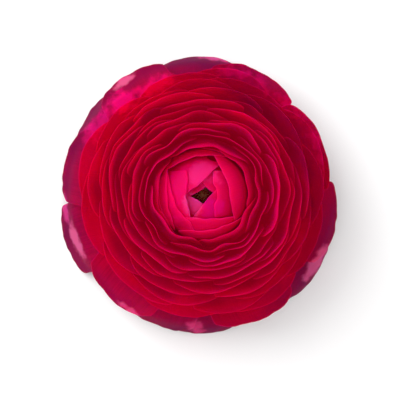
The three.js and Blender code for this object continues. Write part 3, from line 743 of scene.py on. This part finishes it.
bpy.ops.object.select_all(action="DESELECT")
bpy.ops.mesh.primitive_grid_add(x_subdivisions=14, y_subdivisions=20, size=2)
sepal = bpy.context.object
flat = np.array([vertex.co[:] for vertex in sepal.data.vertices])
across, along = flat[:, 0], (flat[:, 1] + 1) / 2
radius, height = curve_through(SEPAL_PROFILE, along * (1 - SEPAL_BOW * across ** 2)).T
turn = SEPAL_FIRST_AZIMUTH + across * sepal_width(along) / radius
height = height + SEPAL_CUPPING * across ** 2 * smooth(2 * along)
height = height - SEPAL_MIDRIB_DEPTH * np.exp(-(across / SEPAL_MIDRIB_WIDTH) ** 2) * (1 - along)
near_edge = smooth(3 * (np.abs(across) - SEPAL_WAVE_FROM))
height = height + SEPAL_WAVE * near_edge * np.sin(SEPAL_WAVES * along + across) * along
placed = np.stack([radius * np.cos(turn), radius * np.sin(turn), height], axis=1) * MM + AXIS
sepal.data.vertices.foreach_set("co", placed.ravel())
sepal.data.update()
sepal.data.materials.append(sepal_green)
flesh = sepal.modifiers.new("flesh", "SOLIDIFY")
flesh.thickness = SEPAL_THICKNESS
flesh.offset = 0
rounding = sepal.modifiers.new("rounding", "SUBSURF")
rounding.levels = rounding.render_levels = 1
bpy.ops.object.modifier_apply(modifier="flesh")
bpy.ops.object.modifier_apply(modifier="rounding")
bpy.ops.object.shade_smooth()

to_axis = Matrix.Translation(Vector(AXIS))
for k in range(SEPAL_COUNT):
    piece = sepal if k == 0 else sepal.copy()
    if k > 0:
        piece.data = sepal.data.copy()
        bpy.context.scene.collection.objects.link(piece)
        spin = Matrix.Rotation(k * FULL_TURN / SEPAL_COUNT, 4, "Z")
        piece.data.transform(to_axis @ spin @ to_axis.inverted())
    piece.name = piece.data.name = f"bent_sepal_{k + 1}"
    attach(piece, "root")
    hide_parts(f"sepal_{k + 1}")

# ------------------------------------------------------------------ the stalk
# The receptacle and the cut stalk below it, grown as one piece: firm green flesh with fine ribs. Drawn down
# ring by ring from the tip of the receptacle, with the stalk's hollow pith open at the cut.

STALK_SIDES = 60
STALK_RINGS = [  # radius and height in millimetres
    (1.60, 16.9), (1.72, 16.75), (1.78, 16.4), (2.65, 15.1), (3.35, 13.9), (3.95, 12.7), (4.45, 11.3),
    (4.62, 10.4), (4.65, 9.5), (4.64, 8.5), (4.5, 7.7), (4.1, 7.1), (3.6, 6.4), (3.1, 5.6), (2.8, 5.0),
    (2.68, 4.0), (2.62, 2.6), (2.6, 1.0), (2.5, 0.8),
]
STALK_WALL = 1.2 * MM
PITH_DEPTH = 3.4 * MM
STALK_RIBS = 14
RIB_HEIGHT = 0.07 * MM
RIBBED_BELOW = 6.5 * MM
CUT_BELOW = 0.85 * MM
PITH_RADIUS = 1.5 * MM
PITH_BELOW = 5 * MM

stalk_green = green_stuff("stalk_green", (0.10, 0.15, 0.03), (0.22, 0.30, 0.07), (0.25, 0.28, 0.08), 0.15)
cut_flesh = green_stuff("cut_flesh", (0.34, 0.40, 0.17), (0.50, 0.55, 0.27), (0.42, 0.38, 0.18), 0.0)


def drawn_rings(name, sides, rings):
    """A round solid drawn from a first flat ring: to each next (radius, height) it is extruded and scaled.
    It stays in edit mode, with its last ring selected."""
    bpy.ops.object.select_all(action="DESELECT")
    bpy.ops.mesh.primitive_circle_add(vertices=sides, radius=rings[0][0] * MM, fill_type="NGON",
                                      location=(AXIS[0], AXIS[1], rings[0][1] * MM), enter_editmode=True)
    for (radius, height), (next_radius, next_height) in zip(rings, rings[1:]):
        step = (0, 0, (next_height - height) * MM)
        bpy.ops.mesh.extrude_region_move(TRANSFORM_OT_translate={"value": step})
        share = next_radius / radius
        middle = (AXIS[0], AXIS[1], next_height * MM)
        bpy.ops.transform.resize(value=(share, share, 1), center_override=middle)
    bpy.context.object.name = bpy.context.object.data.name = name
    return bpy.context.object


stalk = drawn_rings("stalk_and_receptacle", STALK_SIDES, STALK_RINGS)
bpy.ops.mesh.inset(thickness=STALK_WALL)
bpy.ops.mesh.extrude_region_move(TRANSFORM_OT_translate={"value": (0, 0, PITH_DEPTH)})
bpy.ops.mesh.select_all(action="SELECT")
bpy.ops.mesh.normals_make_consistent(inside=False)
bpy.ops.uv.smart_project()
bpy.ops.object.mode_set(mode="OBJECT")
bpy.ops.object.transform_apply(location=True)
for vertex in stalk.data.vertices:
    out = Vector((vertex.co.x - AXIS[0], vertex.co.y - AXIS[1], 0))
    if vertex.co.z < RIBBED_BELOW and out.length > PITH_RADIUS:
        rib = math.cos(STALK_RIBS * math.atan2(out.y, out.x))
        vertex.co -= out.normalized() * RIB_HEIGHT * (1 - rib) / 2
stalk.data.materials.append(stalk_green)
stalk.data.materials.append(cut_flesh)
for face in stalk.data.polygons:
    from_axis = (Vector(face.center) - Vector(AXIS)).xy.length
    in_pith = from_axis < PITH_RADIUS and face.center.z < PITH_BELOW
    if face.center.z < CUT_BELOW or in_pith:
        face.material_index = 1
bpy.ops.object.shade_smooth_by_angle(angle=math.radians(40))
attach(stalk, "root")
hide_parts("stalk")

# ------------------------------------------------------------------ the carpels
# The seed head in the heart of the flower: a small cone packed with olive carpels, each a flat green body
# with a brown hooked beak. Its tip shows at the bottom of the eye. One carpel is copied over a core.

CARPEL_OUTLINE = np.array([
    (1.1, 18.0), (2.2, 19.6), (2.9, 22.2), (3.0, 25.0), (2.5, 28.0), (1.4, 30.8), (0.3, 31.7),
])
CARPEL_COUNT = 180
CARPEL_SINK = 0.75  # the core lies this share inside the outline
CARPEL_HALF = (0.30, 0.36, 0.52)  # half its thickness, width and length in millimetres
CARPEL_BEAK = (0.30, 0, 0.42)  # how far its beak reaches out and up
CARPEL_LEAN = 0.55
CARPEL_LEAN_SCATTER = 0.1
CARPEL_FIRST_SHARE = 0.04  # of the outline's length, where the lowest carpels sit
CARPEL_INSET = 0.30

carpel_olive = green_stuff("carpel_olive", (0.30, 0.22, 0.075), (0.52, 0.38, 0.15),
                           (0.36, 0.17, 0.08), 0.3)
carpel_core = green_stuff("carpel_core", (0.045, 0.05, 0.014), (0.08, 0.075, 0.022),
                          (0.07, 0.04, 0.02), 0.1)

core_rings = [(r * CARPEL_SINK, z) for r, z in CARPEL_OUTLINE[::-1]] + [(0.9, 17.2)]
core = drawn_rings("carpel_head", 24, core_rings)
bpy.ops.mesh.select_all(action="SELECT")
bpy.ops.mesh.normals_make_consistent(inside=False)
bpy.ops.uv.smart_project()
bpy.ops.object.mode_set(mode="OBJECT")
bpy.ops.object.transform_apply(location=True)
core.data.materials.append(carpel_core)

bpy.ops.object.select_all(action="DESELECT")
bpy.ops.mesh.primitive_uv_sphere_add(segments=8, ring_count=5, radius=MM, location=(0, 0, 0))
carpel = bpy.context.object
carpel.scale = CARPEL_HALF
bpy.ops.object.transform_apply(scale=True)
beak = max(carpel.data.vertices, key=lambda vertex: vertex.co.z)
beak.co += Vector(CARPEL_BEAK) * MM
carpel.data.materials.append(carpel_olive)

carpels = []
for n in range(CARPEL_COUNT):
    share = CARPEL_FIRST_SHARE + (1 - CARPEL_FIRST_SHARE) * (n + 0.5) / CARPEL_COUNT
    radius, height = curve_through(CARPEL_OUTLINE, np.array([share]))[0]
    above, below = curve_through(CARPEL_OUTLINE, np.array([min(share + 0.02, 1), max(share - 0.02, 0)]))
    slope = math.atan2(below[0] - above[0], above[1] - below[1])
    next_carpel = carpel.copy()
    next_carpel.data = carpel.data.copy()
    bpy.context.scene.collection.objects.link(next_carpel)
    azimuth = math.radians(n * GOLDEN_ANGLE)
    lean = Matrix.Rotation(CARPEL_LEAN - slope + CARPEL_LEAN_SCATTER * scatter(n, 40), 4, "Y")
    raised = Matrix.Translation(Vector(AXIS) + Vector((0, 0, height * MM)))
    outward = Matrix.Rotation(azimuth, 4, "Z") @ Matrix.Translation(((radius - CARPEL_INSET) * MM, 0, 0))
    next_carpel.data.transform(raised @ outward @ lean)
    carpels.append(next_carpel)
bpy.data.objects.remove(carpel)
bpy.ops.object.select_all(action="DESELECT")
for each in carpels:
    each.select_set(True)
core.select_set(True)
bpy.context.view_layer.objects.active = core
bpy.ops.object.join()
bpy.ops.object.shade_smooth()
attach(core, "root")
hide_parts("carpels")

# ------------------------------------------------------------------ the stamens
# Two whorls of stamens round the carpels, hidden by the bud: thin dark filaments that arch outwards, each
# with a dusty purple-black anther of two lobes. They stand on one ring. One is modelled and copied.

STAMENS_A_WHORL = 14
STAMEN_PATH = np.array([(1.75, 17.5), (3.3, 19.5), (4.4, 22.4), (5.1, 25.4)])
STAMEN_RING = (1.65, 0.30, 17.5)  # its radius, half its thickness and its height in millimetres
FILAMENT_RADIUS = 0.20
FILAMENT_STEPS = 9
ANTHER_HALF = (0.40, 0.42, 1.15)  # half its thickness, width and length in millimetres
ANTHER_FURROW = 0.35
STAMEN_RISE, SHORT_STAMEN_LOSS, STAMEN_RISE_SCATTER = 0.9, 0.18, 0.1
STAMEN_TURN_SCATTER = 0.06


def dusty_stuff(name, deep, pale):
    """Dull dark tissue, dusted with paler grains."""
    stuff = bpy.data.materials.new(name)
    stuff.use_nodes = True
    tree = stuff.node_tree
    shader = tree.nodes["Principled BSDF"]
    place = tree.nodes.new("ShaderNodeTexCoord")
    dust = tree.nodes.new("ShaderNodeTexNoise")
    dust.inputs["Scale"].default_value = 3800
    dust.inputs["Detail"].default_value = 3
    tree.links.new(place.outputs["Object"], dust.inputs["Vector"])
    shades = tree.nodes.new("ShaderNodeValToRGB")
    stops = shades.color_ramp.elements
    stops[0].position, stops[0].color = 0.42, (*deep, 1)
    stops[1].position, stops[1].color = 0.68, (*pale, 1)
    tree.links.new(dust.outputs["Fac"], shades.inputs["Fac"])
    tree.links.new(shades.outputs["Color"], shader.inputs["Base Color"])
    grains = tree.nodes.new("ShaderNodeBump")
    grains.inputs["Strength"].default_value = 0.5
    grains.inputs["Distance"].default_value = 0.0001
    tree.links.new(dust.outputs["Fac"], grains.inputs["Height"])
    tree.links.new(grains.outputs["Normal"], shader.inputs["Normal"])
    shader.inputs["Roughness"].default_value = 0.85
    shader.inputs["Specular IOR Level"].default_value = 0.2
    return stuff


filament_purple = dusty_stuff("filament_purple", (0.045, 0.010, 0.030), (0.10, 0.035, 0.07))
anther_black = dusty_stuff("anther_black", (0.016, 0.009, 0.020), (0.075, 0.055, 0.080))

bpy.ops.object.select_all(action="DESELECT")
bpy.ops.mesh.primitive_torus_add(major_radius=STAMEN_RING[0] * MM, minor_radius=STAMEN_RING[1] * MM,
                                 major_segments=40, minor_segments=10,
                                 location=(AXIS[0], AXIS[1], STAMEN_RING[2] * MM))
ring = bpy.context.object
bpy.ops.object.transform_apply(location=True)
ring.data.materials.append(filament_purple)

# One stamen stands in the plane y = 0: the filament is drawn up its path, and the anther sits on its end.
filament_path = curve_through(STAMEN_PATH, np.linspace(0, 1, FILAMENT_STEPS))
foot = (filament_path[0][0] * MM, 0, filament_path[0][1] * MM)
bpy.ops.object.select_all(action="DESELECT")
bpy.ops.mesh.primitive_circle_add(vertices=8, radius=FILAMENT_RADIUS * MM, fill_type="NGON",
                                  location=foot, enter_editmode=True)
for here, there in zip(filament_path, filament_path[1:]):
    step = ((there[0] - here[0]) * MM, 0, (there[1] - here[1]) * MM)
    bpy.ops.mesh.extrude_region_move(TRANSFORM_OT_translate={"value": step})
bpy.ops.mesh.select_all(action="SELECT")
bpy.ops.mesh.normals_make_consistent(inside=False)
bpy.ops.object.mode_set(mode="OBJECT")
bpy.ops.object.transform_apply(location=True)
filament = bpy.context.object
filament.data.materials.append(filament_purple)

bpy.ops.object.select_all(action="DESELECT")
bpy.ops.mesh.primitive_uv_sphere_add(segments=12, ring_count=8, radius=MM)
anther = bpy.context.object
anther.scale = ANTHER_HALF
bpy.ops.object.transform_apply(scale=True)
for vertex in anther.data.vertices:
    turn = math.atan2(vertex.co.y, vertex.co.x)
    vertex.co.x *= 1 - ANTHER_FURROW * math.cos(turn) ** 4
anther.data.materials.append(anther_black)
run = filament_path[-1] - filament_path[-2]
end = Matrix.Translation((filament_path[-1][0] * MM, 0, filament_path[-1][1] * MM))
anther.data.transform(end @ Matrix.Rotation(math.atan2(run[0], run[1]), 4, "Y"))
filament.select_set(True)
bpy.context.view_layer.objects.active = filament
bpy.ops.object.join()
stamen = bpy.context.object

stamens = []
for k in range(2 * STAMENS_A_WHORL):
    short = k % 2
    turn = k * FULL_TURN / (2 * STAMENS_A_WHORL) + STAMEN_TURN_SCATTER * scatter(k // 2, 20)
    rise = STAMEN_RISE - SHORT_STAMEN_LOSS * short + STAMEN_RISE_SCATTER * scatter(k // 2, 21 + short)
    next_stamen = stamen.copy()
    next_stamen.data = stamen.data.copy()
    bpy.context.scene.collection.objects.link(next_stamen)
    base = Matrix.Translation(foot)
    grown = base @ Matrix.Diagonal((rise, 1, rise, 1)) @ base.inverted()
    next_stamen.data.transform(to_axis @ Matrix.Rotation(turn, 4, "Z") @ grown)
    stamens.append(next_stamen)
bpy.data.objects.remove(stamen)
bpy.ops.object.select_all(action="DESELECT")
for each in stamens:
    each.select_set(True)
ring.select_set(True)
bpy.context.view_layer.objects.active = ring
bpy.ops.object.join()
ring.name = ring.data.name = "stamen_whorl"
bpy.ops.object.shade_smooth()
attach(ring, "root")
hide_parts("stamens")

# ------------------------------------------------------------------ stage, light and camera
# A plain pale floor under the flower, a broad soft light from the upper left and an even white surround.
# The camera looks straight down, as the flower is seen face on.

bpy.ops.object.select_all(action="DESELECT")
bpy.ops.mesh.primitive_plane_add(size=6)
floor = bpy.context.object
floor.name = "floor"
pale_floor = bpy.data.materials.new("pale_floor")
pale_floor.use_nodes = True
floor_shader = pale_floor.node_tree.nodes["Principled BSDF"]
floor_shader.inputs["Base Color"].default_value = (0.92, 0.92, 0.92, 1)
floor_shader.inputs["Roughness"].default_value = 0.9
floor_shader.inputs["Specular IOR Level"].default_value = 0.1
floor.data.materials.append(pale_floor)

surround = bpy.data.worlds.new("surround")
surround.use_nodes = True
background = surround.node_tree.nodes["Background"]
background.inputs["Color"].default_value = (1, 1, 1, 1)
background.inputs["Strength"].default_value = 1.0
bpy.context.scene.world = surround

FLOWER_MIDDLE = Vector((0, 0, 0.02))


def softbox(name, place, power, size):
    light = bpy.data.lights.new(name, "AREA")
    light.shape = "SQUARE"
    light.size = size
    light.energy = power
    lamp = bpy.data.objects.new(name, light)
    lamp.location = place
    lamp.rotation_euler = (FLOWER_MIDDLE - Vector(place)).to_track_quat("-Z", "Y").to_euler()
    bpy.context.scene.collection.objects.link(lamp)


softbox("key_softbox", (-0.50, 0.40, 0.62), 5.5, 0.7)

bpy.context.scene.view_settings.view_transform = "Standard"

CAMERA_HEIGHT = 0.5
FRAME_WIDTH = 0.12
SENSOR = 36
FRAME_CENTRE_BELOW = 0.0015  # how far the middle of the view lies below and left of the flower's axis
FRAME_CENTRE_LEFT = 0.00095
view = bpy.data.cameras.new("view")
view.sensor_width = SENSOR
view.lens = SENSOR * CAMERA_HEIGHT / FRAME_WIDTH
camera = bpy.data.objects.new("camera", view)
camera.location = (AXIS[0] - FRAME_CENTRE_LEFT, AXIS[1] - FRAME_CENTRE_BELOW, CAMERA_HEIGHT)
bpy.context.scene.collection.objects.link(camera)
bpy.context.scene.camera = camera
